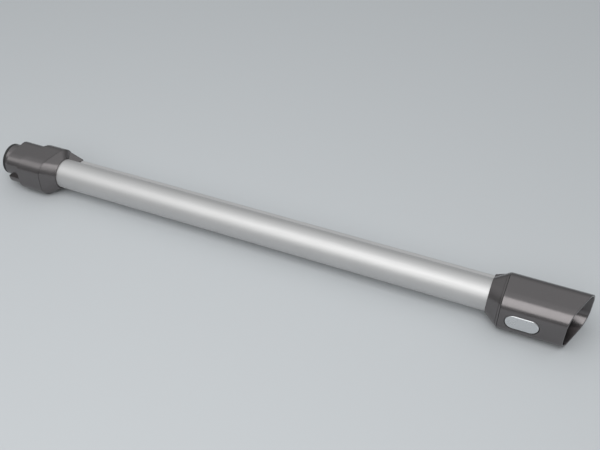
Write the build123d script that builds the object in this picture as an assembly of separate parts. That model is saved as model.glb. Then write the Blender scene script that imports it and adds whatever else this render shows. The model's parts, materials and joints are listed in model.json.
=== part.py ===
from build123d import *
import os
from math import cos, radians, sin, tan

# Aluminium tube with a wire conduit along its back
TUBE_DIAMETER = 37.0
TUBE_WALL = 1.0
TUBE_SHOWING = 552.0
TUBE_IN_PLUG = 40.0
RIB_HEIGHT = 4.3
RIB_WIDTH = 18.5
RIB_CORNER = 2.0
RIB_WALL = 0.9
TUBE_FIT = 0.1

# Round tip at the machine end, and the seat at the tool end that takes such a tip
TIP_WALL = 2.5
TIP_LENGTH = 9.0
TIP_CHAMFER = 0.6
NOSE_WALL = 0.8
SEAL_LENGTH = 3.5
SEAL_SETBACK = 0.2
SEAL_ROUND = 0.8
SEAL_FIT = 0.05
SEAT_CLEARANCE = 0.3
SEAT_WALL = 1.6
SEAT_END_GAP = 0.5

# Rounded square section that both end mouldings share, and the slant of the mouth and the shoulder
LATCH_ROOM = 8.6
BACK_ROOM = 6.1
SIDE_ROOM = 3.3
BODY_CORNER = 18.0
BODY_WALL = 2.4
MOUTH_ANGLE = 20.0
MOUTH_ROUND = 0.6

# Tapered collars between the tube and the end mouldings
COLLAR_LIP = 1.2
COLLAR_FLAT = 0.7
COLLAR_EDGE = 1.5
COLLAR_EDGE_WALL = 0.9
COLLAR_ROOM = 0.15
PARTING_GAP = 0.5
HOOD_WALL = 1.2
HOOD_SPREAD = 33.0
STRIP_WIDTH = 2.0
STRIP_GROOVE = 0.4
STRIP_DEPTH = 0.3

# Machine end: setbacks from the end of the showing tube, on the axis
PLUG_CREASE = 11.0
CREASE_ANGLE = 10.0
PLUG_SHOULDER = 39.0
SHANK_STEP = 3.9
SHANK_END_GAP = 0.5
SHANK_CHAMFER = 1.0
PLUG_SLEEVE_START = 7.5
PLUG_SCREW_SETBACK = 11.5
PLUG_SCREW_SPREAD = 32.0
PLUG_RIB_THICKNESS = 1.6
TAIL_LENGTH = 13.0
TAIL_ROOT_SETBACK = 7.0

# Tool end: distances from the end of the showing tube, on the axis
CUFF_LENGTH = 95.5
CUFF_CREASE = 16.2
SOCKET_DEPTH = 31.5
CUFF_SLEEVE_START = 10.5
CUFF_SCREW_SETBACK = 13.5
SLEEVE_WALL = 2.4
TUBE_STOP = 3.0
DUCT_LENGTH = 18.0
DUCT_WALL = 2.0
SEAT_FLOOR = 2.0
LINER_FLANGE = 3.0
LINER_FIT = 0.15
REAR_FLANGE_SETBACK = 0.5
REAR_FLANGE = 2.5

# Release button and latch lever
BUTTON_LENGTH = 36.0
BUTTON_WIDTH = 18.0
BUTTON_START = 23.0
BUTTON_PROUD = 0.3
BUTTON_THICKNESS = 1.7
BUTTON_EDGE = 0.7
BUTTON_GAP = 0.6
LEVER_WIDTH = 8.8
LEVER_PLATE = 1.6
LEVER_MARGIN = 1.0
LEVER_STOP = 3.0
LEVER_STOP_GAP = 0.3
LEVER_STOP_THICKNESS = 1.2
LEVER_WEB = 4.5
ARM_RISE = 0.2
ARM_THICKNESS = 1.5
ARM_ROOM = 0.8
TOOTH_LENGTH = 2.8
TOOTH_SETBACK = 2.5
TOOTH_CLEARANCE = 0.6
PIVOT_SETBACK = 7.0
PIVOT_GAP = 0.4
BOSS_RADIUS = 2.0
PIN_DIAMETER = 2.0
PIN_RUNNING_FIT = 0.05
PIN_LUG_FIT = 0.02
LUG_GAP = 0.35
LUG_THICKNESS = 2.4
LUG_RADIUS = 1.6
LUG_LENGTH = 5.0

# Return spring under the button
SPRING_SETBACK = 23.5
SPRING_DIAMETER = 5.0
SPRING_WIRE = 0.5
SPRING_TURNS = 3.5
SPRING_SEAT = 0.2
SPRING_SEAT_MARGIN = 0.7
SPRING_PEG_DIAMETER = 2.8
SPRING_PEG = 1.4

# Latch keeper in the front of the plug's shank
KEEPER_WIDTH = 13.0
KEEPER_CLEARANCE = 0.3
KEEPER_LEAD = 1.3
KEEPER_RAMP_END = 3.2
POCKET_CLEARANCE = 0.5

# Electrical contacts and wires
WIRE_DIAMETER = 1.8
WIRE_SPACING = 7.0
WIRE_BEND = 8.0
WIRE_ROOM = 0.4
WIRE_STRAIGHT = 3.0
CONTACT_RISE = 1.1
CONTACT_THICKNESS = 0.8
CONTACT_WIDTH = 2.8
CONTACT_REACH = 8.0
CONTACT_FIT = 0.05
CONTACT_TAIL = 1.0
CONTACT_STEP = 9.0
CLIP_LEAF = 0.3
CLIP_GAP = 0.7
BLOCK_WIDTH = 15.0
BLOCK_SKIN = 0.3
BLOCK_FIT = 0.15
PLUG_BLOCK_LENGTH = 14.0
PLUG_BLOCK_INSET = 0.15
SOCKET_BLOCK_LENGTH = 13.5
SOCKET_BLOCK_REAR = 1.0

# Screws through the sleeves into the tube
SCREW_DIAMETER = 2.8
SCREW_FIT = 0.05
SCREW_HEAD_DIAMETER = 4.4
SCREW_HEAD = 1.0
SCREW_SEAT_CUT = 1.0
SCREW_SEAT_ROOM = 0.2

# Sizes that follow from those above
tube_radius = TUBE_DIAMETER / 2
bore_radius = tube_radius - TUBE_WALL
rib_reach = tube_radius + RIB_HEIGHT
tip_radius = bore_radius + TIP_WALL
seat_radius = tip_radius + SEAT_CLEARANCE
seat_outer = seat_radius + SEAT_WALL
front = -(seat_outer + LATCH_ROOM)
back = seat_outer + BACK_ROOM
half_width = (back - front) / 2
section_y = (back + front) / 2
half_height = seat_outer + SIDE_ROOM
sleeve_radius = tube_radius + TUBE_FIT + SLEEVE_WALL
slope = tan(radians(MOUTH_ANGLE))
back_lean = back * slope
inner_front = front + BODY_WALL

# Stations along X, with the whole length centred on the origin
shank_length = SOCKET_DEPTH - SHANK_END_GAP
plug_length = PLUG_SHOULDER + shank_length + TIP_LENGTH + SEAL_LENGTH
overall_length = plug_length + TUBE_SHOWING + CUFF_LENGTH + back_lean
x_end = -overall_length / 2
x_plug = x_end + plug_length
x_cuff = x_plug + TUBE_SHOWING
x_plug_crease = x_plug - PLUG_CREASE
x_shoulder = x_plug - PLUG_SHOULDER
x_shank_end = x_shoulder - shank_length
x_tip_end = x_shank_end - TIP_LENGTH
x_tube_start = x_plug - TUBE_IN_PLUG
x_cuff_crease = x_cuff + CUFF_CREASE
x_parting = x_cuff_crease - PARTING_GAP
x_strip = x_parting - STRIP_WIDTH
x_mouth = x_cuff + CUFF_LENGTH
x_mouth_front = x_mouth + front * slope
x_socket_floor = x_mouth - SOCKET_DEPTH
x_seat_floor = x_socket_floor - TIP_LENGTH - SEAL_LENGTH - SEAT_END_GAP
x_tube_end = x_seat_floor - DUCT_LENGTH

# Latch levels across Y and stations along X
button_face = front - BUTTON_PROUD
button_back = button_face + BUTTON_THICKNESS
plate_back = button_back + LEVER_PLATE
x_button_start = x_cuff + BUTTON_START
x_button_end = x_button_start + BUTTON_LENGTH
x_button = (x_button_start + x_button_end) / 2
x_pivot = x_button_end - PIVOT_SETBACK
pivot_y = -(seat_outer + PIVOT_GAP + BOSS_RADIUS)
arm_face = pivot_y - ARM_RISE
arm_back = arm_face + ARM_THICKNESS
tooth_y = -(seat_radius + TOOTH_CLEARANCE)
x_tooth_end = x_mouth_front - TOOTH_SETBACK
x_tooth_start = x_tooth_end - TOOTH_LENGTH
x_spring = x_pivot - SPRING_SETBACK
spring_seat_y = -(sleeve_radius + SPRING_SEAT)

# Wire and contact levels
conduit_outer = rib_reach - RIB_WALL
wire_y = (tube_radius + conduit_outer) / 2
contact_y = seat_outer + CONTACT_RISE
wire_sides = (("positive", WIRE_SPACING / 2), ("negative", -WIRE_SPACING / 2))
x_socket_block = x_socket_floor - SOCKET_BLOCK_LENGTH
x_clip_start = x_socket_block + SOCKET_BLOCK_REAR
x_plug_block_end = x_shank_end + PLUG_BLOCK_LENGTH
x_blade_start = x_shank_end - CONTACT_REACH
x_blade_end = x_plug_block_end + CONTACT_TAIL
screw_seat = sleeve_radius - SCREW_SEAT_CUT
shank_back = back - SHANK_STEP


def at_x(x):
    return Plane(origin=(x, 0, 0), x_dir=(0, 1, 0), z_dir=(1, 0, 0))


def slanted(x, degrees=MOUTH_ANGLE):
    angle = radians(degrees)
    return Plane(origin=(x, 0, 0), z_dir=(cos(angle), -sin(angle), 0))


def prism(sketch, x_from, x_to):
    return extrude(at_x(x_from) * sketch, amount=x_to - x_from)


def rod(radius, x_from, x_to):
    return prism(Circle(radius), x_from, x_to)


def block(x_span, y_span, z_span):
    spans = (x_span, y_span, z_span)
    sizes = [high - low for low, high in spans]
    middle = [(high + low) / 2 for low, high in spans]
    return Pos(*middle) * Box(*sizes)


def plate(outline, thickness):
    return extrude(outline, amount=thickness / 2, both=True)


def body_section(inset=0):
    size = (2 * (half_width - inset), 2 * (half_height - inset))
    return Pos(section_y, 0) * RectangleRounded(*size, BODY_CORNER - inset)


def rib_outline(grow):
    reach = rib_reach + grow
    bar = Pos(reach / 2, 0) * Rectangle(reach, RIB_WIDTH + 2 * grow)
    return fillet(bar.vertices().sort_by(Axis.X)[-2:], RIB_CORNER + grow)


def tube_outline(grow=0):
    return Circle(tube_radius + grow) + rib_outline(grow)


def radial_axis(x, angle):
    """Plane on the tube's axis whose normal points out at an angle up from +Y."""
    turn = radians(angle)
    return Plane(origin=(x, 0, 0), x_dir=(1, 0, 0), z_dir=(0, cos(turn), sin(turn)))


def radial_rod(x, angle, radius, low, high):
    plane = radial_axis(x, angle).offset(low)
    return extrude(plane * Circle(radius), amount=high - low)


plug_screw_angles = (180 - PLUG_SCREW_SPREAD, 180 + PLUG_SCREW_SPREAD)
cuff_screw_angles = (90, -90)
x_plug_screw = x_plug - PLUG_SCREW_SETBACK
x_cuff_screw = x_cuff + CUFF_SCREW_SETBACK


def screw_holes(x, angles):
    radius = SCREW_DIAMETER / 2 + SCREW_FIT
    return [radial_rod(x, a, radius, bore_radius - TUBE_WALL, -front) for a in angles]


def screw_seats(x, angles):
    radius = SCREW_HEAD_DIAMETER / 2 + SCREW_SEAT_ROOM
    return [radial_rod(x, a, radius, screw_seat, -front) for a in angles]


def make_screws(x, angles):
    """Pan-head screws whose points end flush with the airway."""
    screws = []
    for angle in angles:
        shank = radial_rod(x, angle, SCREW_DIAMETER / 2, bore_radius + SCREW_FIT, screw_seat)
        top = screw_seat + SCREW_HEAD
        head = radial_rod(x, angle, SCREW_HEAD_DIAMETER / 2, screw_seat, top)
        screws.append(shank + head)
    return Compound(children=screws)


def make_tube():
    """Extrusion: a round airway with a flat-topped wire conduit on its back."""
    inside = Pos(conduit_outer / 2, 0) * Rectangle(conduit_outer, RIB_WIDTH - 2 * RIB_WALL)
    corners = inside.vertices().sort_by(Axis.X)[-2:]
    conduit = fillet(corners, RIB_CORNER - RIB_WALL) - Circle(tube_radius)
    profile = tube_outline() - Circle(bore_radius) - conduit
    tube = prism(profile, x_tube_start, x_tube_end)
    tube -= screw_holes(x_plug_screw, plug_screw_angles)
    tube -= screw_holes(x_cuff_screw, cuff_screw_angles)
    return tube


def collar_small_end(inset=0):
    half = tube_radius + COLLAR_LIP - inset
    return RectangleRounded(2 * half, 2 * half, half - COLLAR_FLAT)


def hood(x_root, x_tip):
    """Cover over the conduit, from the shared section's back corners down to the conduit."""
    turn = radians(HOOD_SPREAD)
    reach = back - BODY_CORNER * (1 - cos(turn))
    width = 2 * (half_height - BODY_CORNER * (1 - sin(turn)))
    root = Pos(reach / 2, 0) * RectangleRounded(reach, width, RIB_CORNER)
    tip_reach = rib_reach + HOOD_WALL
    tip_width = RIB_WIDTH + 2 * HOOD_WALL
    tip = Pos(tip_reach / 2, 0) * RectangleRounded(tip_reach, tip_width, RIB_CORNER)
    return loft([at_x(x_root) * root, at_x(x_tip) * tip], ruled=True)


def cuff_cone(inset=0):
    small = at_x(x_cuff) * collar_small_end(inset)
    return loft([small, at_x(x_cuff_crease) * body_section(inset)], ruled=True)


def make_cuff_collar():
    """Taper with a hood over the conduit, and a groove that sets off its rim."""
    collar = cuff_cone() + hood(x_cuff_crease, x_cuff)
    collar = split(collar, bisect_by=at_x(x_parting), keep=Keep.BOTTOM)
    groove = prism(body_section(), x_strip - STRIP_GROOVE, x_strip)
    collar -= groove - cuff_cone(STRIP_DEPTH)
    edge = at_x(x_cuff + COLLAR_EDGE) * collar_small_end(COLLAR_EDGE_WALL)
    hollow = loft([edge, at_x(x_cuff_crease) * body_section(BODY_WALL)], ruled=True)
    return collar - hollow - prism(tube_outline(COLLAR_ROOM), x_plug, x_cuff_crease)


def button_outline(grow):
    width = BUTTON_WIDTH + 2 * grow
    length = BUTTON_LENGTH + 2 * grow
    face = Plane(origin=(x_button, 0, 0), x_dir=(1, 0, 0), z_dir=(0, -1, 0))
    return face, SlotOverall(length, width)


def make_cuff_body():
    """Moulded shell with a slanted mouth and a window for the button."""
    x_far = x_mouth + 2 * back_lean
    shell = prism(body_section(), x_cuff_crease, x_far)
    shell -= prism(body_section(BODY_WALL), x_cuff, x_far)
    shell = split(shell, bisect_by=slanted(x_mouth), keep=Keep.BOTTOM)
    mouth = shell.faces().sort_by(Axis.X)[-1]
    shell = fillet(mouth.edges(), MOUTH_ROUND)
    face, outline = button_outline(BUTTON_GAP)
    return shell - extrude(face.offset(-inner_front - BODY_WALL) * outline, amount=3 * BODY_WALL)


def wire_slot(x_from, x_to):
    half = WIRE_SPACING / 2 + WIRE_DIAMETER / 2 + WIRE_ROOM
    low = wire_y - WIRE_DIAMETER / 2 - WIRE_ROOM
    return block((x_from, x_to), (low, back), (-half, half))


def make_socket_liner():
    """Inner moulding: sleeve on the tube, duct, round seat, flanges and pivot lugs."""
    inside = body_section(BODY_WALL + LINER_FIT)
    x_sleeve = x_cuff + CUFF_SLEEVE_START
    x_rear = x_cuff_crease + REAR_FLANGE_SETBACK
    liner = rod(sleeve_radius, x_sleeve, x_tube_end + TUBE_STOP)
    liner += rod(bore_radius + DUCT_WALL, x_tube_end, x_seat_floor)
    liner += rod(seat_outer, x_seat_floor - SEAT_FLOOR, x_socket_floor)
    liner += prism(inside, x_socket_floor - LINER_FLANGE, x_socket_floor)
    liner += prism(inside, x_rear, x_rear + REAR_FLANGE)

    lug_inner = LEVER_WIDTH / 2 + LUG_GAP
    lug_outer = lug_inner + LUG_THICKNESS
    x_lug = (x_pivot - LUG_LENGTH / 2, x_pivot + LUG_LENGTH / 2)
    duct_middle = bore_radius + DUCT_WALL / 2
    y_lug = (pivot_y - LUG_RADIUS, -duct_middle)
    for z_lug in ((lug_inner, lug_outer), (-lug_outer, -lug_inner)):
        liner += block(x_lug, y_lug, z_lug)
    seat_round = SPRING_DIAMETER / 2 + SPRING_SEAT_MARGIN
    spring_seat = -spring_seat_y
    peg = spring_seat + SPRING_PEG
    liner += radial_rod(x_spring, 180, seat_round, duct_middle, spring_seat)
    liner += radial_rod(x_spring, 180, SPRING_PEG_DIAMETER / 2, spring_seat, peg)

    liner -= rod(bore_radius, x_sleeve, x_socket_floor)
    liner -= rod(seat_radius, x_seat_floor, x_socket_floor)
    liner -= prism(tube_outline(TUBE_FIT), x_cuff, x_tube_end)
    liner -= wire_slot(x_tube_end, x_seat_floor - SEAT_FLOOR)
    arm_half = LEVER_WIDTH / 2 + ARM_ROOM
    x_flange = (x_socket_floor - LINER_FLANGE, x_socket_floor)
    liner -= block(x_flange, (front, -seat_outer), (-arm_half, arm_half))
    block_half = BLOCK_WIDTH / 2 + BLOCK_FIT
    liner -= block(x_flange, (seat_outer, back), (-block_half, block_half))
    pin_hole = Circle(PIN_DIAMETER / 2 + PIN_LUG_FIT)
    liner -= plate(Pos(x_pivot, pivot_y) * pin_hole, 2 * half_height)
    liner -= screw_seats(x_cuff_screw, cuff_screw_angles)
    liner -= screw_holes(x_cuff_screw, cuff_screw_angles)
    return liner


def make_release_button():
    face, outline = button_outline(0)
    cap = extrude(face.offset(-button_back) * outline, amount=BUTTON_THICKNESS)
    return fillet(cap.faces().sort_by(Axis.Y)[0].edges(), BUTTON_EDGE)


def flat_bar(x_from, x_to, y_from, y_to):
    middle = Pos((x_from + x_to) / 2, (y_from + y_to) / 2)
    return middle * Rectangle(x_to - x_from, abs(y_to - y_from))


def make_latch_lever():
    """Rocker: plate under the button, pivot boss, long arm and hooked tooth."""
    stop_face = inner_front + LEVER_STOP_GAP
    stop_back = stop_face + LEVER_STOP_THICKNESS
    x_stop = x_button_start - LEVER_STOP
    x_plate = x_button_start + LEVER_MARGIN
    outline = flat_bar(x_plate, x_button_end - LEVER_MARGIN, button_back, plate_back)
    outline += flat_bar(x_stop, x_plate + LEVER_MARGIN, stop_face, stop_back)
    outline += flat_bar(x_pivot - BOSS_RADIUS, x_pivot + LEVER_WEB, button_back, arm_back)
    outline += flat_bar(x_pivot, x_tooth_end, arm_face, arm_back)
    outline += make_face(
        Polyline(
            (x_tooth_start, arm_face),
            (x_tooth_end, arm_face),
            (x_tooth_end, arm_back),
            (x_tooth_start + TOOTH_LENGTH / 2, tooth_y),
            (x_tooth_start, tooth_y),
            close=True,
        )
    )
    outline += Pos(x_pivot, pivot_y) * Circle(BOSS_RADIUS)
    outline -= Pos(x_pivot, pivot_y) * Circle(PIN_DIAMETER / 2 + PIN_RUNNING_FIT)
    return plate(outline, LEVER_WIDTH)


def make_pivot_pin():
    length = LEVER_WIDTH + 2 * (LUG_GAP + LUG_THICKNESS)
    return plate(Pos(x_pivot, pivot_y) * Circle(PIN_DIAMETER / 2), length)


def make_return_spring():
    """Open coil from its seat on the liner to the underside of the lever."""
    wire_radius = SPRING_WIRE / 2
    height = spring_seat_y - plate_back - SPRING_WIRE
    coil_radius = (SPRING_DIAMETER - SPRING_WIRE) / 2
    path = Helix(pitch=height / SPRING_TURNS, height=height, radius=coil_radius)
    start = Plane(origin=path @ 0, z_dir=path % 0)
    coil = sweep(start * Circle(wire_radius), path=path, is_frenet=True)
    base = Plane(
        origin=(x_spring, spring_seat_y - wire_radius, 0), x_dir=(1, 0, 0), z_dir=(0, -1, 0)
    )
    return base * coil


def make_socket_block():
    """Insulator behind the seat, with one slot for each contact clip."""
    half = BLOCK_WIDTH / 2
    low = seat_outer + BLOCK_FIT
    high = back - BODY_WALL - BLOCK_FIT - LINER_FIT
    body = block((x_socket_block, x_socket_floor), (low, high), (-half, half))
    depth = CLIP_GAP / 2 + CLIP_LEAF + CONTACT_FIT
    across = CONTACT_WIDTH / 2 + CONTACT_FIT
    for _, z in wire_sides:
        body -= block(
            (x_clip_start - CONTACT_FIT, x_socket_floor),
            (contact_y - depth, contact_y + depth),
            (z - across, z + across),
        )
        entry = Pos(contact_y, z) * Circle(WIRE_DIAMETER / 2 + CONTACT_FIT)
        body -= prism(entry, x_socket_block, x_clip_start)
    return body


def make_socket_clip(z):
    """Folded clip that grips a blade between two leaves."""
    half = CONTACT_WIDTH / 2
    depth = CLIP_GAP / 2 + CLIP_LEAF
    x_clip_end = x_socket_floor - BLOCK_FIT
    clip = block(
        (x_clip_start, x_clip_end), (contact_y - depth, contact_y + depth), (z - half, z + half)
    )
    return clip - block(
        (x_clip_start + CLIP_LEAF, x_clip_end),
        (contact_y - CLIP_GAP / 2, contact_y + CLIP_GAP / 2),
        (z - half, z + half),
    )


def blade(z, grow=0):
    """Stepped blade: free at the tip side, lower at the wire side."""
    thick = CONTACT_THICKNESS / 2 + grow
    across = CONTACT_WIDTH / 2 + grow
    x_step = x_shank_end + CONTACT_STEP
    z_span = (z - across, z + across)
    x_free = (x_blade_start, x_step + thick)
    x_tail = (x_step - thick, x_blade_end)
    form = block(x_free, (contact_y - thick, contact_y + thick), z_span)
    form += block(x_tail, (wire_y - thick, wire_y + thick), z_span)
    return form + block(
        (x_step - thick, x_step + thick), (wire_y - thick, contact_y + thick), z_span
    )


def plug_block_space(grow):
    half = BLOCK_WIDTH / 2 + grow
    low = wire_y - CONTACT_THICKNESS / 2 - BLOCK_SKIN - CONTACT_FIT - grow
    return (x_shank_end, x_plug_block_end + grow), low, (-half, half)


def make_plug_block():
    x_span, low, z_span = plug_block_space(0)
    body = block(x_span, (low, shank_back - PLUG_BLOCK_INSET), z_span)
    for _, z in wire_sides:
        body -= blade(z, CONTACT_FIT)
    return body


def make_wire(z):
    """Insulated wire from the plug's blade, through the conduit, up to the socket's clip."""
    x_rise = x_tube_end + WIRE_STRAIGHT
    x_level = x_socket_block - WIRE_STRAIGHT
    path = FilletPolyline(
        (x_blade_end, wire_y, z),
        (x_rise, wire_y, z),
        (x_level, contact_y, z),
        (x_clip_start, contact_y, z),
        radius=WIRE_BEND,
    )
    start = at_x(x_blade_end) * Pos(wire_y, z) * Circle(WIRE_DIAMETER / 2)
    return sweep(start, path=path)


def plug_hollow():
    """Space between the sleeve and the outer wall, left open towards the collar."""
    space = prism(body_section(BODY_WALL), x_end, x_plug)
    space = split(space, bisect_by=slanted(x_shoulder + BODY_WALL), keep=Keep.TOP)
    space -= rod(sleeve_radius, x_end, x_plug)
    rib_half = PLUG_RIB_THICKNESS / 2
    upright = block((x_end, x_plug), (-rib_half, rib_half), (-half_height, half_height))
    across = block((x_end, x_plug), (front, 0), (-rib_half, rib_half))
    return space - upright - across


def keeper_cut():
    """Ramped track for a latch tooth, ending in the pocket that holds it."""
    to_plug = x_shoulder - x_mouth
    x_pocket_start = x_tooth_start + to_plug - POCKET_CLEARANCE
    x_pocket_end = x_tooth_end + to_plug + POCKET_CLEARANCE
    crest = arm_back + KEEPER_CLEARANCE
    floor = tooth_y + KEEPER_CLEARANCE
    outline = make_face(
        Polyline(
            (x_shank_end, front),
            (x_shank_end, crest + KEEPER_LEAD),
            (x_pocket_start - KEEPER_RAMP_END, crest),
            (x_pocket_start, crest),
            (x_pocket_start, floor),
            (x_pocket_end, floor),
            (x_pocket_end, front),
            close=True,
        )
    )
    return plate(outline, KEEPER_WIDTH)


def make_plug_body():
    """Moulding: slanted band, rounded square shank, round tip and tube sleeve."""
    band = prism(body_section(), x_end, x_plug + back_lean)
    band = split(band, bisect_by=slanted(x_shoulder), keep=Keep.TOP)
    x_band_end = x_plug_crease - PARTING_GAP
    band = split(band, bisect_by=slanted(x_band_end, CREASE_ANGLE), keep=Keep.BOTTOM)
    shank = prism(body_section(SHANK_STEP), x_shank_end, x_plug)
    shank = chamfer(shank.faces().sort_by(Axis.X)[0].edges(), SHANK_CHAMFER)
    shank = split(shank, bisect_by=slanted(x_shoulder + BODY_WALL), keep=Keep.BOTTOM)
    tip = rod(tip_radius, x_tip_end, x_shank_end + SHANK_CHAMFER)
    tip = chamfer(tip.faces().sort_by(Axis.X)[0].edges(), TIP_CHAMFER)
    nose = rod(bore_radius + NOSE_WALL, x_end + NOSE_WALL, x_tip_end + TIP_CHAMFER)
    sleeve = rod(sleeve_radius, x_shoulder, x_plug - PLUG_SLEEVE_START)
    body = band + shank + tip + nose + sleeve
    body -= rod(bore_radius, x_end, x_plug)
    body -= prism(tube_outline(TUBE_FIT), x_tube_start, x_plug)
    body -= plug_hollow()
    body -= keeper_cut()
    x_span, low, z_span = plug_block_space(BLOCK_FIT)
    body -= block(x_span, (low, back), z_span)
    half = WIRE_SPACING / 2 + CONTACT_WIDTH / 2 + WIRE_ROOM
    depth = WIRE_DIAMETER / 2 + WIRE_ROOM
    body -= block((x_plug_block_end, x_tube_start), (wire_y - depth, wire_y + depth), (-half, half))
    body -= screw_seats(x_plug_screw, plug_screw_angles)
    body -= screw_holes(x_plug_screw, plug_screw_angles)
    return body


def slanted_section(inset):
    """The shared section cut by the slanted crease."""
    bar = prism(body_section(inset), x_end, x_plug + back_lean)
    bar = split(bar, bisect_by=slanted(x_plug_crease, CREASE_ANGLE), keep=Keep.BOTTOM)
    return bar.faces().sort_by(Axis.X)[-1]


def make_plug_collar():
    """Taper from the slanted crease to the round tube, with a tail over the conduit."""
    cone = loft([slanted_section(0), at_x(x_plug) * collar_small_end()], ruled=True)
    tail = hood(x_plug - TAIL_ROOT_SETBACK, x_plug + TAIL_LENGTH)
    edge = at_x(x_plug - COLLAR_EDGE) * collar_small_end(COLLAR_EDGE_WALL)
    hollow = loft([slanted_section(BODY_WALL), edge], ruled=True)
    sheath = prism(tube_outline(COLLAR_ROOM), x_end, x_plug + 2 * TAIL_LENGTH)
    return cone + tail - hollow - sheath


def make_plug_seal():
    """Rubber ring on the nose, a little smaller than the tip."""
    ring = rod(tip_radius - SEAL_SETBACK, x_end, x_tip_end)
    ring = fillet(ring.faces().sort_by(Axis.X)[0].edges(), SEAL_ROUND)
    ring -= rod(bore_radius, x_end, x_tip_end)
    x_nose = x_end + NOSE_WALL - SEAL_FIT
    return ring - rod(bore_radius + NOSE_WALL + SEAL_FIT, x_nose, x_tip_end)


nodes = {
    "tube": make_tube(),
    "plug_body": make_plug_body(),
    "plug_collar": make_plug_collar(),
    "plug_seal": make_plug_seal(),
    "plug_screws": make_screws(x_plug_screw, plug_screw_angles),
    "plug_terminal_block": make_plug_block(),
    "cuff_body": make_cuff_body(),
    "cuff_collar": make_cuff_collar(),
    "cuff_screws": make_screws(x_cuff_screw, cuff_screw_angles),
    "socket_liner": make_socket_liner(),
    "socket_terminal_block": make_socket_block(),
    "release_button": make_release_button(),
    "latch_lever": make_latch_lever(),
    "pivot_pin": make_pivot_pin(),
    "return_spring": make_return_spring(),
}
for pole, z in wire_sides:
    nodes[f"plug_contact_{pole}"] = blade(z)
    nodes[f"socket_contact_{pole}"] = make_socket_clip(z)
    nodes[f"wire_{pole}"] = make_wire(z)

# The whole part lies on the flat undersides of its two end mouldings, in the middle of its box
to_floor = Pos(0, -(button_face + back) / 2, half_height)
os.makedirs("parts", exist_ok=True)
for name, solid in nodes.items():
    export_step(to_floor * solid, f"parts/{name}.step")
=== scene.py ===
# %% [markdown]
# # A vacuum cleaner tube
#
# The tube is an aluminium extrusion with a plug at the machine end and an open cuff at the
# tool end. Both ends are dark metallic mouldings, and the cuff has a silver release button.
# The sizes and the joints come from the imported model, so the first step loads it and keeps
# its box, and every piece that follows takes its place from there.

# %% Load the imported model
import json
from math import asin, cos, radians, sin, tan

import bmesh
import bpy
from mathutils import Matrix, Vector


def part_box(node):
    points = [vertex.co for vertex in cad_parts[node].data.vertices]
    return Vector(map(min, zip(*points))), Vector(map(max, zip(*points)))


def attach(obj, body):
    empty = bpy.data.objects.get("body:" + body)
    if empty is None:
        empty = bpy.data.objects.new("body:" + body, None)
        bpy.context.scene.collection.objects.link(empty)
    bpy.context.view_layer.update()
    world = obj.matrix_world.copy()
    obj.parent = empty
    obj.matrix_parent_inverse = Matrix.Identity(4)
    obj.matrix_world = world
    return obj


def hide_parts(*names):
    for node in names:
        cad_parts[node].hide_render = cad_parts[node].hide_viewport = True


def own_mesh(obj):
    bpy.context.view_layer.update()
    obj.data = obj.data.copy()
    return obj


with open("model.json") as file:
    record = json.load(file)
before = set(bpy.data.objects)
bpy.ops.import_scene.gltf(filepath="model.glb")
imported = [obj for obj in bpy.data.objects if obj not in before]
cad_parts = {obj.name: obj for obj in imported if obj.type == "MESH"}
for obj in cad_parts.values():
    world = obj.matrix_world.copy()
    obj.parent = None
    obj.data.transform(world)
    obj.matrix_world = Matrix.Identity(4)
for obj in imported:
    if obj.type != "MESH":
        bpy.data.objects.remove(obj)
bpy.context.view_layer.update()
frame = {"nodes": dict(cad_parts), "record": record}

MM = 0.001
nodes = frame["nodes"]
mounts = {mount["name"]: mount for mount in frame["record"]["mounts"]}

# %% [markdown]
# ## Measures from the model
#
# The tube lies along X. Its axis is half way up the box, the wire rib is on its back (+Y) and
# the button on its front (-Y). A few measures are shared by many pieces. They could be typed
# in again, but then they would go wrong when the model changes, so they are read from it once.
# The tube's height is twice its radius, which also gives the axis from its front side.

# %% Read the shared measures
tube_low, tube_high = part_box("tube")
axis_z = (tube_low.z + tube_high.z) / 2
tube_radius = (tube_high.z - tube_low.z) / 2
axis_y = tube_low.y + tube_radius
rib_reach = tube_high.y - axis_y
bore_radius = mounts["airway"]["dims"]["r_mm"] * MM
AXIS = Vector((0, axis_y, axis_z))
ALONG = Vector((1, 0, 0))
print("tube radius", round(tube_radius / MM, 2), "rib reach", round(rib_reach / MM, 2))

# %% [markdown]
# ## Helpers for meshes
#
# A bmesh is Blender's editable mesh. Each piece is shaped in one with operators and is then
# handed to a new object that stays at the origin. Smooth shading needs two more things: edges
# sharper than a set angle are marked, and weighted normals keep the flat faces flat. Both are
# the same for every piece, so one function does them and also ties the piece to its body.

# %% Turn a bmesh into a piece
SMOOTH_ANGLE = radians(28)


def make_piece(mesh_data, name, body, slot, *replaced):
    """Closes a bmesh into an object that rides on a body and stands for some nodes."""
    mesh = bpy.data.meshes.new(name)
    mesh_data.to_mesh(mesh)
    mesh_data.free()
    mesh.polygons.foreach_set("use_smooth", [True] * len(mesh.polygons))
    mesh.set_sharp_from_angle(angle=SMOOTH_ANGLE)
    piece = bpy.data.objects.new(name, mesh)
    bpy.context.scene.collection.objects.link(piece)
    weighted = piece.modifiers.new("flat_faces_stay_flat", "WEIGHTED_NORMAL")
    weighted.keep_sharp = True
    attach(piece, body)
    if replaced:
        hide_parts(*replaced)
    print(name, len(mesh.vertices), "vertices", len(mesh.polygons), "faces")
    return piece


# %% Round the edges of a copied node
MERGE = 0.001 * MM
FLAT_ANGLE = radians(0.5)
EDGE_ANGLE = radians(24)
EDGE_STEPS = 3


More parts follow.
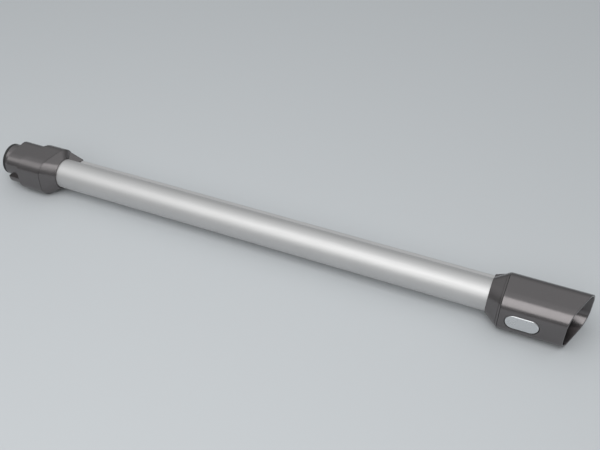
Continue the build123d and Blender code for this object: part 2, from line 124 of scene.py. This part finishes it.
def rounded_copy(node, rounding):
    """Copies a node, joins its loose triangles into faces and rounds its sharp edges."""
    shape = bmesh.new()
    shape.from_mesh(nodes[node].data)
    bmesh.ops.remove_doubles(shape, verts=shape.verts, dist=MERGE)
    bmesh.ops.dissolve_limit(
        shape, angle_limit=FLAT_ANGLE, verts=shape.verts, edges=shape.edges
    )
    sharp = [edge for edge in shape.edges if edge.calc_face_angle(0) > EDGE_ANGLE]
    bmesh.ops.bevel(
        shape,
        geom=sharp,
        offset=rounding,
        offset_type="OFFSET",
        affect="EDGES",
        segments=EDGE_STEPS,
        profile=0.5,
        material=-1,
        clamp_overlap=True,
    )
    return shape


# %% [markdown]
# ## The aluminium tube
#
# The real tube is pressed through a die, so its section is the same all along: a round airway
# and a flat-topped rib for the wires. It could be a cylinder joined to a box, but the join
# would leave a ragged seam along the whole tube. So the section is drawn once as outlines and
# extruded. The round part is one vertex spun about the axis, and a vertex bevel rounds the
# rib's corners.

# %% Draw an outline with a rib
TUBE_STEPS = 150
CORNER_STEPS = 6


def round_corners(shape, points, size, steps=CORNER_STEPS):
    """Rounds the corners of a flat outline."""
    bmesh.ops.bevel(
        shape,
        geom=points,
        offset=size,
        affect="VERTICES",
        segments=steps,
        profile=0.5,
        material=-1,
    )


def ribbed_outline(shape, x, radius, half, reach, corner, long_way):
    """An open arc about the axis, closed by the rib's sides and its rounded flat top."""
    known = set(shape.edges)
    lift = asin(half / radius)
    turn = radians(360) - 2 * lift if long_way else -2 * lift
    steps = TUBE_STEPS if long_way else CORNER_STEPS * 4
    start = shape.verts.new(AXIS + Vector((x, radius * cos(lift), radius * sin(lift))))
    spun = bmesh.ops.spin(
        shape, geom=[start], cent=AXIS, axis=ALONG, angle=turn, steps=steps
    )
    end = spun["geom_last"][0]
    low = shape.verts.new(AXIS + Vector((x, reach, -half)))
    high = shape.verts.new(AXIS + Vector((x, reach, half)))
    for pair in ((end, low), (low, high), (high, start)):
        shape.edges.new(pair)
    edges = [edge for edge in shape.edges if edge not in known]
    bmesh.ops.contextual_create(shape, geom=edges)
    round_corners(shape, [low, high], corner)
    bmesh.ops.delete(shape, geom=shape.faces[:], context="FACES_ONLY")


# %% Extrude the tube
RIB_HALF = 9.25 * MM
RIB_CORNER = 2.0 * MM
RIB_WALL = 0.9 * MM

tube = bmesh.new()
ribbed_outline(tube, tube_low.x, tube_radius, RIB_HALF, rib_reach, RIB_CORNER, True)
ribbed_outline(
    tube,
    tube_low.x,
    tube_radius,
    RIB_HALF - RIB_WALL,
    rib_reach - RIB_WALL,
    RIB_CORNER - RIB_WALL,
    False,
)
across = Matrix.Translation(AXIS + ALONG * tube_low.x) @ Matrix.Rotation(radians(90), 4, "Y")
bmesh.ops.create_circle(tube, segments=TUBE_STEPS, radius=bore_radius, matrix=across)
near_edges = tube.edges[:]
pulled = bmesh.ops.extrude_edge_only(tube, edges=near_edges)["geom"]
far_points = [part for part in pulled if isinstance(part, bmesh.types.BMVert)]
bmesh.ops.translate(tube, verts=far_points, vec=ALONG * (tube_high.x - tube_low.x))
far_edges = [edge for edge in tube.edges if all(point in far_points for point in edge.verts)]
for edges in (near_edges, far_edges):
    bmesh.ops.triangle_fill(tube, edges=edges, use_beauty=True, normal=ALONG)
bmesh.ops.recalc_face_normals(tube, faces=tube.faces)
tube_piece = make_piece(tube, "tube_extrusion", "wand", "tube", "tube")

# %% [markdown]
# ## The mouldings
#
# The end mouldings are already the right shape in the model, but their edges are knife sharp.
# A real mould can't make such an edge, and it is the small rounding that catches the light.
# A Bevel modifier would find nothing to round, because the model's triangles aren't joined to
# each other. So each moulding is copied, its triangles are joined into faces, and its sharp
# edges are bevelled.

# %% Round the mouldings
ROUNDINGS = {
    "plug_body": ("housing", 0.35 * MM),
    "plug_collar": ("housing", 0.3 * MM),
    "cuff_body": ("housing", 0.3 * MM),
    "cuff_collar": ("housing", 0.3 * MM),
    "socket_liner": ("liner", 0.2 * MM),
    "plug_terminal_block": ("insulator", 0.15 * MM),
    "socket_terminal_block": ("insulator", 0.15 * MM),
}
LEVER_ROUNDING = 0.15 * MM

mouldings = {}
for node, (slot, rounding) in ROUNDINGS.items():
    shape = rounded_copy(node, rounding)
    mouldings[node] = make_piece(shape, f"{node}_moulding", "wand", slot, node)
lever_shape = rounded_copy("latch_lever", LEVER_ROUNDING)
lever_piece = make_piece(lever_shape, "latch_lever_moulding", "latch", "lever", "latch_lever")

# %% [markdown]
# ## The seal
#
# The seal is a rubber ring on the plug's tip, with a lip that covers the tip's end. A torus
# has no lip and no flat seat. A ring is a solid of revolution, so its section is drawn as one
# face, its outer corner is rounded, and a full spin sweeps it round.

# %% Spin the seal
SEAL_ROUND = 0.8 * MM
NOSE_WALL = 0.85 * MM
RING_STEPS = 128

seal_low, seal_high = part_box("plug_seal")
seal_radius = (seal_high.z - seal_low.z) / 2
seal_section = (
    (seal_low.x, bore_radius),
    (seal_low.x, seal_radius),
    (seal_high.x, seal_radius),
    (seal_high.x, bore_radius + NOSE_WALL),
    (seal_low.x + NOSE_WALL, bore_radius + NOSE_WALL),
    (seal_low.x + NOSE_WALL, bore_radius),
)
seal = bmesh.new()
corners = [seal.verts.new(AXIS + Vector((x, radius, 0))) for x, radius in seal_section]
seal.faces.new(corners)
round_corners(seal, corners[1:2], SEAL_ROUND)
bmesh.ops.spin(
    seal,
    geom=seal.verts[:] + seal.edges[:],
    cent=AXIS,
    axis=ALONG,
    angle=radians(360),
    steps=RING_STEPS,
    use_merge=True,
)
section_faces = [face for face in seal.faces if len(face.verts) > 4]
bmesh.ops.delete(seal, geom=section_faces, context="FACES_ONLY")
bmesh.ops.remove_doubles(seal, verts=seal.verts, dist=MERGE)
bmesh.ops.recalc_face_normals(seal, faces=seal.faces)
seal_piece = make_piece(seal, "plug_seal_ring", "wand", "seal", "plug_seal")

# %% [markdown]
# ## The release button
#
# The button is a flat bar with round ends. A cylinder at each end of a box would leave seams
# across its face. A rectangle whose corners are rounded by half its width has that outline in
# one face, once the points where two corners meet are merged. It is extruded to the button's
# thickness, and a wide bevel on its face gives the bright rim that the light picks out. A
# narrow inset inside the rim keeps the rest of the face flat, because the rim's curved shading
# ends there.

# %% Extrude the button
BUTTON_RIM = 1.2 * MM
RIM_STEPS = 6
END_STEPS = 16
END_MERGE = 3 * MERGE
FACE_BORDER = 0.3 * MM

button_low, button_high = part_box("release_button")
button_middle = (button_low + button_high) / 2
button_size = button_high - button_low
button = bmesh.new()
stand = Matrix.Translation((button_middle.x, button_high.y, axis_z))
stand = stand @ Matrix.Rotation(radians(90), 4, "X")
stand = stand @ Matrix.Diagonal((button_size.x / 2, button_size.z / 2, 1, 1))
bmesh.ops.create_grid(button, x_segments=1, y_segments=1, size=1, matrix=stand)
round_corners(button, button.verts[:], button_size.z / 2 - MERGE, steps=END_STEPS)
bmesh.ops.remove_doubles(button, verts=button.verts, dist=END_MERGE)
pushed = bmesh.ops.extrude_face_region(button, geom=button.faces[:], use_keep_orig=True)["geom"]
face_points = [part for part in pushed if isinstance(part, bmesh.types.BMVert)]
bmesh.ops.translate(button, verts=face_points, vec=(0, -button_size.y, 0))
rim = [edge for edge in button.edges if all(point in face_points for point in edge.verts)]
bmesh.ops.bevel(
    button,
    geom=rim,
    offset=BUTTON_RIM,
    affect="EDGES",
    segments=RIM_STEPS,
    profile=0.5,
    material=-1,
)
front_face = min(button.faces, key=lambda face: face.calc_center_median().y)
bmesh.ops.inset_region(button, faces=[front_face], thickness=FACE_BORDER)
bmesh.ops.recalc_face_normals(button, faces=button.faces)
button_piece = make_piece(button, "release_button_cap", "latch", "button", "release_button")

# %% [markdown]
# ## The return spring
#
# The spring is a coil of round wire under the button. A curve with a bevel could draw it, but
# its points would have to be worked out one by one. A small circle spun about the coil's axis,
# and moved a little along it at each step, sweeps the coil in one call. When the button is
# pressed the lever comes down on it. The piece is given a mesh of its own.

# %% Spin the coil
COIL_TURNS = 3.5
COIL_STEPS = 48
WIRE_STEPS = 12
WIRE_RADIUS = 0.25 * MM

coil_low, coil_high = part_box("return_spring")
coil_middle = (coil_low + coil_high) / 2
coil_radius = (coil_high.x - coil_low.x) / 2 - WIRE_RADIUS
rise = coil_high.y - coil_low.y - 2 * WIRE_RADIUS
steps = round(COIL_TURNS * COIL_STEPS)
spring = bmesh.new()
start = Matrix.Translation((coil_middle.x + coil_radius, coil_high.y - WIRE_RADIUS, axis_z))
bmesh.ops.create_circle(
    spring, cap_ends=True, segments=WIRE_STEPS, radius=WIRE_RADIUS, matrix=start
)
bmesh.ops.spin(
    spring,
    geom=spring.faces[:],
    cent=(coil_middle.x, 0, axis_z),
    axis=(0, 1, 0),
    dvec=(0, -rise / steps, 0),
    angle=radians(360) * COIL_TURNS,
    steps=steps,
)
bmesh.ops.recalc_face_normals(spring, faces=spring.faces)
spring_piece = make_piece(spring, "return_spring_coil", "wand", "spring", "return_spring")
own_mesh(spring_piece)

# %% [markdown]
# ## Helpers for finishes
#
# A material is a small graph of nodes. Two effects are used by several finishes: a noise that
# can be drawn out along the tube, and flakes as in metallic paint. They could be wired again
# in each material. A node group is wired once and placed in each with its own values.

# %% Helpers that add nodes and groups
FLOAT, VECTOR, COLOR = "NodeSocketFloat", "NodeSocketVector", "NodeSocketColor"


def add_node(tree, kind, **settings):
    """Adds a node; settings that name an input set its value, the rest are properties."""
    node = tree.nodes.new(kind)
    for name, value in settings.items():
        label = name.replace("_", " ").title()
        if label in node.inputs:
            node.inputs[label].default_value = value
        else:
            setattr(node, name, value)
    return node


def new_group(name, inputs, outputs):
    """A node group with named sockets, its input node and its output node."""
    group = bpy.data.node_groups.new(name, "ShaderNodeTree")
    for direction, sockets in (("INPUT", inputs), ("OUTPUT", outputs)):
        for label, kind in sockets:
            group.interface.new_socket(name=label, in_out=direction, socket_type=kind)
    return group, group.nodes.new("NodeGroupInput"), group.nodes.new("NodeGroupOutput")


# %% [markdown]
# ### Drawn-out noise
#
# Drawn metal has fine lines in one direction, and a moulding has grain that is alike all round.
# A wave texture would make lines that are too even. Here the coordinates are divided along X
# before they reach a noise, so that a stretch of 1 gives grain and a large one gives lines.

# %% Build the drawn-out noise


def make_drawn_noise():
    """Noise that can be drawn out along X, between two values."""
    sockets = [("Vector", VECTOR), ("Scale", FLOAT), ("Stretch", FLOAT)]
    sockets += [("Low", FLOAT), ("High", FLOAT)]
    group, given, result = new_group("drawn_noise", sockets, [("Value", FLOAT)])
    share = add_node(group, "ShaderNodeMath", operation="DIVIDE")
    share.inputs[0].default_value = 1
    squeeze = add_node(group, "ShaderNodeCombineXYZ", y=1, z=1)
    drawn = add_node(group, "ShaderNodeVectorMath", operation="MULTIPLY")
    noise = add_node(group, "ShaderNodeTexNoise", detail=3, roughness=0.55)
    spread = add_node(group, "ShaderNodeMapRange", from_min=0.3, from_max=0.7)
    links = group.links
    links.new(given.outputs["Stretch"], share.inputs[1])
    links.new(share.outputs[0], squeeze.inputs["X"])
    links.new(given.outputs["Vector"], drawn.inputs[0])
    links.new(squeeze.outputs[0], drawn.inputs[1])
    links.new(drawn.outputs[0], noise.inputs["Vector"])
    links.new(given.outputs["Scale"], noise.inputs["Scale"])
    links.new(noise.outputs["Fac"], spread.inputs["Value"])
    links.new(given.outputs["Low"], spread.inputs["To Min"])
    links.new(given.outputs["High"], spread.inputs["To Max"])
    links.new(spread.outputs["Result"], result.inputs["Value"])
    return group


drawn_noise = make_drawn_noise()
print("group", drawn_noise.name, "with", len(drawn_noise.nodes), "nodes")

# %% [markdown]
# ### Paint flakes
#
# Metallic paint holds small flakes that lie at different angles, so that some look lighter. A
# noise would blur them into one another. A Voronoi texture gives each cell one random colour,
# and its red part sets how light the cell is.

# %% Build the flakes


def make_flakes():
    """A base colour with small cells that are a little lighter or darker."""
    sockets = [("Vector", VECTOR), ("Scale", FLOAT), ("Base", COLOR)]
    sockets += [("Low", FLOAT), ("High", FLOAT)]
    group, given, result = new_group("paint_flakes", sockets, [("Color", COLOR)])
    cells = add_node(group, "ShaderNodeTexVoronoi")
    part = add_node(group, "ShaderNodeSeparateColor")
    spread = add_node(group, "ShaderNodeMapRange")
    tint = add_node(group, "ShaderNodeVectorMath", operation="SCALE")
    links = group.links
    links.new(given.outputs["Vector"], cells.inputs["Vector"])
    links.new(given.outputs["Scale"], cells.inputs["Scale"])
    links.new(cells.outputs["Color"], part.inputs["Color"])
    links.new(part.outputs["Red"], spread.inputs["Value"])
    links.new(given.outputs["Low"], spread.inputs["To Min"])
    links.new(given.outputs["High"], spread.inputs["To Max"])
    links.new(given.outputs["Base"], tint.inputs[0])
    links.new(spread.outputs["Result"], tint.inputs["Scale"])
    links.new(tint.outputs["Vector"], result.inputs["Color"])
    return group


paint_flakes = make_flakes()
print("group", paint_flakes.name, "with", len(paint_flakes.nodes), "nodes")

# %% [markdown]
# ### From a group to a finish
#
# Every finish starts from a Principled shader and Object coordinates. Generated coordinates
# would stretch a pattern to the box of each piece, where Object coordinates keep it one size
# on all of them. The helpers place a group with its own values, feed a height into the normal
# and give the material to its pieces.

# %% Helpers that place a group in a material
BUMP_STRENGTH = 0.5


def new_material(title, **shader_values):
    """A material with its Principled shader set and Object coordinates ready."""
    material = bpy.data.materials.new(title)
    material.use_nodes = True
    tree = material.node_tree
    shader = tree.nodes["Principled BSDF"]
    for name, value in shader_values.items():
        label = name.replace("_", " ").title().replace("Ior", "IOR")
        shader.inputs[label].default_value = value
    coordinates = tree.nodes.new("ShaderNodeTexCoord").outputs["Object"]
    return material, tree, shader, coordinates


def place_group(tree, group, coordinates, **values):
    """Places a group with its own values and returns its output socket."""
    node = tree.nodes.new("ShaderNodeGroup")
    node.node_tree = group
    for label, value in values.items():
        node.inputs[label.title()].default_value = value
    tree.links.new(coordinates, node.inputs["Vector"])
    return node.outputs[0]


def add_bump(tree, shader, height, distance):
    """Feeds a height into the shader's normal."""
    bump = add_node(tree, "ShaderNodeBump", distance=distance, strength=BUMP_STRENGTH)
    tree.links.new(height, bump.inputs["Height"])
    tree.links.new(bump.outputs["Normal"], shader.inputs["Normal"])


def dress(objects, material):
    """Gives pieces or nodes one material."""
    for item in objects:
        item.data.materials.clear()
        item.data.materials.append(material)
    print(material.name, "on", [item.name for item in objects])


# %% [markdown]
# ## Satin aluminium
#
# The tube is blasted and anodised, so it is a soft, even silver. The die leaves very fine
# lines along it. An anisotropic shader would blur the highlight but show no lines. So the
# noise is drawn out along X for them, and it changes the roughness and the height a little,
# while the colour hardly varies.

# %% Make the aluminium
SATIN_SILVER = (0.64, 0.634, 0.63)
DIE_LINE_DEPTH = 0.02 * MM

aluminium, tree, shader, coordinates = new_material("satin_aluminium", metallic=1.0)
die_lines = place_group(tree, drawn_noise, coordinates, scale=1400, stretch=90, low=0.53, high=0.61)
cloud = place_group(tree, drawn_noise, coordinates, scale=60, stretch=3, low=0.97, high=1.0)
tone = add_node(tree, "ShaderNodeVectorMath", operation="SCALE")
tone.inputs[0].default_value = SATIN_SILVER
tree.links.new(cloud, tone.inputs["Scale"])
tree.links.new(tone.outputs["Vector"], shader.inputs["Base Color"])
tree.links.new(die_lines, shader.inputs["Roughness"])
add_bump(tree, shader, die_lines, DIE_LINE_DEPTH)
dress([tube_piece], aluminium)

# %% [markdown]
# ## Gunmetal paint
#
# The mouldings have a dark, slightly warm metallic paint. A plain dark plastic would show the
# light as white, where the real paint shows it as a broad band in its own warm grey. So the
# shader is nearly all metal. Flakes give its colour a fine sparkle, and a wide soft noise keeps
# the gloss from being the same all over.

# %% Make the gunmetal
FLAKE_SCALE = 7000
WARM_GREY = (0.175, 0.164, 0.165, 1)

gunmetal, tree, shader, coordinates = new_material("gunmetal_paint", metallic=0.92)
flakes = place_group(
    tree, paint_flakes, coordinates, scale=FLAKE_SCALE, base=WARM_GREY, low=0.85, high=1.15
)
gloss = place_group(tree, drawn_noise, coordinates, scale=90, stretch=1, low=0.22, high=0.27)
tree.links.new(flakes, shader.inputs["Base Color"])
tree.links.new(gloss, shader.inputs["Roughness"])
painted = ("plug_body", "plug_collar", "cuff_body", "cuff_collar")
dress([mouldings[node] for node in painted], gunmetal)

# %% [markdown]
# ## Silver button
#
# The button has the same kind of paint in silver. It could share the tube's aluminium, but
# that has lines along it, and the button is even and smoother. So it gets the flakes of the
# gunmetal with a pale base and less contrast.

# %% Make the silver
PALE_SILVER = (0.70, 0.71, 0.72, 1)

silver, tree, shader, coordinates = new_material("silver_paint", metallic=0.9)
flakes = place_group(
    tree, paint_flakes, coordinates, scale=FLAKE_SCALE, base=PALE_SILVER, low=0.93, high=1.05
)
gloss = place_group(tree, drawn_noise, coordinates, scale=120, stretch=1, low=0.26, high=0.32)
tree.links.new(flakes, shader.inputs["Base Color"])
tree.links.new(gloss, shader.inputs["Roughness"])
dress([button_piece], silver)

# %% [markdown]
# ## Plastics and rubber
#
# The inner mouldings, the lever and the wires are plain plastics, and the seal is rubber. A
# mould leaves a fine grain on them, which breaks up the gloss. They differ only in colour,
# roughness and grain, so one function makes them all.

# %% Make the plastics
GLOSS_SPREAD = 0.05
GLOSS_WIDTH = 8


def plastic(name, color, rough, grain_scale, grain_depth):
    """A moulded plastic or rubber with its own grain."""
    material, tree, shader, coordinates = new_material(name, specular_ior_level=0.5)
    tint = place_group(
        tree, paint_flakes, coordinates, scale=grain_scale, base=(*color, 1), low=0.9, high=1.1
    )
    gloss = place_group(
        tree,
        drawn_noise,
        coordinates,
        scale=grain_scale / GLOSS_WIDTH,
        stretch=1,
        low=rough - GLOSS_SPREAD,
        high=rough + GLOSS_SPREAD,
    )
    grain = place_group(tree, drawn_noise, coordinates, scale=grain_scale, stretch=1, low=0, high=1)
    tree.links.new(tint, shader.inputs["Base Color"])
    tree.links.new(gloss, shader.inputs["Roughness"])
    add_bump(tree, shader, grain, grain_depth)
    return material


blocks = [mouldings["plug_terminal_block"], mouldings["socket_terminal_block"]]
# Each row: the pieces, then the name, colour, roughness, grain scale and grain depth.
PLASTICS = (
    ([mouldings["socket_liner"]], "liner_plastic", (0.07, 0.068, 0.07), 0.38, 2500, 0.02 * MM),
    (blocks, "insulator_plastic", (0.018, 0.018, 0.02), 0.5, 2500, 0.03 * MM),
    ([lever_piece], "lever_plastic", (0.05, 0.05, 0.052), 0.4, 2500, 0.02 * MM),
    ([seal_piece], "seal_rubber", (0.016, 0.016, 0.017), 0.55, 1800, 0.04 * MM),
    ([nodes["wire_positive"]], "red_insulation", (0.42, 0.03, 0.028), 0.42, 1500, 0.02 * MM),
    ([nodes["wire_negative"]], "black_insulation", (0.02, 0.02, 0.021), 0.42, 1500, 0.02 * MM),
)
for pieces, *finish in PLASTICS:
    dress(pieces, plastic(*finish))

# %% [markdown]
# ## Small metal parts
#
# The contacts are brass and the screws, the pin and the spring are steel. Apart from the
# spring they could be modelled anew, but they are small and mostly hidden. So they keep the
# shapes of the model, and only their finish is new. Fine drawing lines come from the same
# drawn-out noise as on the tube.

# %% Make the small metals
LINE_SPREAD = 0.06


def small_metal(name, color, rough):
    """A bright metal with faint drawing lines."""
    material, tree, shader, coordinates = new_material(name, metallic=1.0)
    tint = place_group(
        tree, paint_flakes, coordinates, scale=3000, base=(*color, 1), low=0.94, high=1.04
    )
    lines = place_group(
        tree,
        drawn_noise,
        coordinates,
        scale=2600,
        stretch=20,
        low=rough - LINE_SPREAD,
        high=rough + LINE_SPREAD,
    )
    tree.links.new(tint, shader.inputs["Base Color"])
    tree.links.new(lines, shader.inputs["Roughness"])
    return material


contact_nodes = [item for name, item in nodes.items() if "contact" in name]
dress(contact_nodes, small_metal("contact_brass", (0.76, 0.58, 0.30), 0.28))
steel = small_metal("bright_steel", (0.60, 0.60, 0.61), 0.26)
dress([spring_piece, nodes["plug_screws"], nodes["cuff_screws"], nodes["pivot_pin"]], steel)

# %% [markdown]
# ## The floor
#
# The part lies on a plain pale floor. A backdrop that curves up behind it would hide the
# horizon, but it would stand in the way of views from behind. So the floor is one flat grid,
# so wide that its edge lies close to the horizon, in a matt pale grey that takes a soft shadow.

# %% Lay the floor
FLOOR_HALF = 60.0
PALE_GREY = (0.54, 0.56, 0.575, 1)

floor = bmesh.new()
bmesh.ops.create_grid(floor, x_segments=1, y_segments=1, size=FLOOR_HALF)
floor_mesh = bpy.data.meshes.new("pale_floor")
floor.to_mesh(floor_mesh)
floor.free()
floor_piece = bpy.data.objects.new("pale_floor", floor_mesh)
bpy.context.scene.collection.objects.link(floor_piece)
floor_paint = new_material(
    "floor_paint", base_color=PALE_GREY, roughness=0.85, specular_ior_level=0.2
)[0]
dress([floor_piece], floor_paint)

# %% [markdown]
# ## The sky
#
# The world lights the part from all round. It could be one even grey, but then every face
# would be lit alike. It is a sky that is brighter overhead than at the horizon, so that faces
# that turn up are lighter than those that turn aside.

# %% Make the sky
SKY_TINT = (0.96, 0.985, 1.0, 1)

world = bpy.data.worlds.new("studio_sky")
bpy.context.scene.world = world
world.use_nodes = True
sky = world.node_tree
direction = sky.nodes.new("ShaderNodeTexCoord").outputs["Generated"]
height = sky.nodes.new("ShaderNodeSeparateXYZ")
glow = add_node(
    sky, "ShaderNodeMapRange", from_min=0.22, from_max=0.8, to_min=0.29, to_max=0.76
)
sky.links.new(direction, height.inputs[0])
sky.links.new(height.outputs["Z"], glow.inputs["Value"])
sky.links.new(glow.outputs["Result"], sky.nodes["Background"].inputs["Strength"])
sky.nodes["Background"].inputs["Color"].default_value = SKY_TINT
print("sky", [node.bl_idname for node in sky.nodes])

# %% [markdown]
# ## The soft boxes
#
# A glossy part is lit with large soft boxes, because a small lamp would show on it as a hard
# spot. One box above the camera draws the broad highlight along the tube and the corners of
# the mouldings, and a weak one on the left keeps the plug from going flat.

# %% Hang the lights


def soft_box(name, place, target, size_x, size_y, power):
    """A rectangular area lamp that points at a target."""
    lamp = bpy.data.lights.new(name, "AREA")
    lamp.shape = "RECTANGLE"
    lamp.size = size_x
    lamp.size_y = size_y
    lamp.energy = power
    holder = bpy.data.objects.new(name, lamp)
    holder.location = place
    holder.rotation_euler = (Vector(target) - Vector(place)).to_track_quat("-Z", "Y").to_euler()
    bpy.context.scene.collection.objects.link(holder)
    print(name, "at", place, "power", power)


soft_box("key_box", (0.1, -0.74, 1.07), (0.1, 0, 0), size_x=1.3, size_y=1.45, power=9.6)
soft_box("left_box", (-1.1, -0.6, 1.2), (-0.3, 0, 0), size_x=0.9, size_y=0.9, power=1.6)

# %% [markdown]
# ## The camera
#
# The camera stands where the photo was taken from. It could be set by eye, but the slant of so
# long a tube shows every small error. So its place, turn and lens were fitted to the outlines
# in the photo, and the place is given from the tube's axis.

# %% Place the camera
EYE = AXIS + Vector((0.31435, -0.64209, 0.63295))
DOWN_ANGLE = 41.115
YAW = 23.066
LENS = 48.43
SENSOR = 36.0

view_camera = bpy.data.cameras.new("photo_view")
view_camera.lens = LENS
view_camera.sensor_width = SENSOR
camera = bpy.data.objects.new("photo_view", view_camera)
camera.location = EYE
camera.rotation_euler = (radians(90 - DOWN_ANGLE), 0, radians(YAW))
bpy.context.scene.collection.objects.link(camera)
bpy.context.scene.camera = camera
bpy.context.scene.view_settings.view_transform = "Standard"
print("camera at", [round(value, 3) for value in EYE], "looking down", DOWN_ANGLE, "degrees")
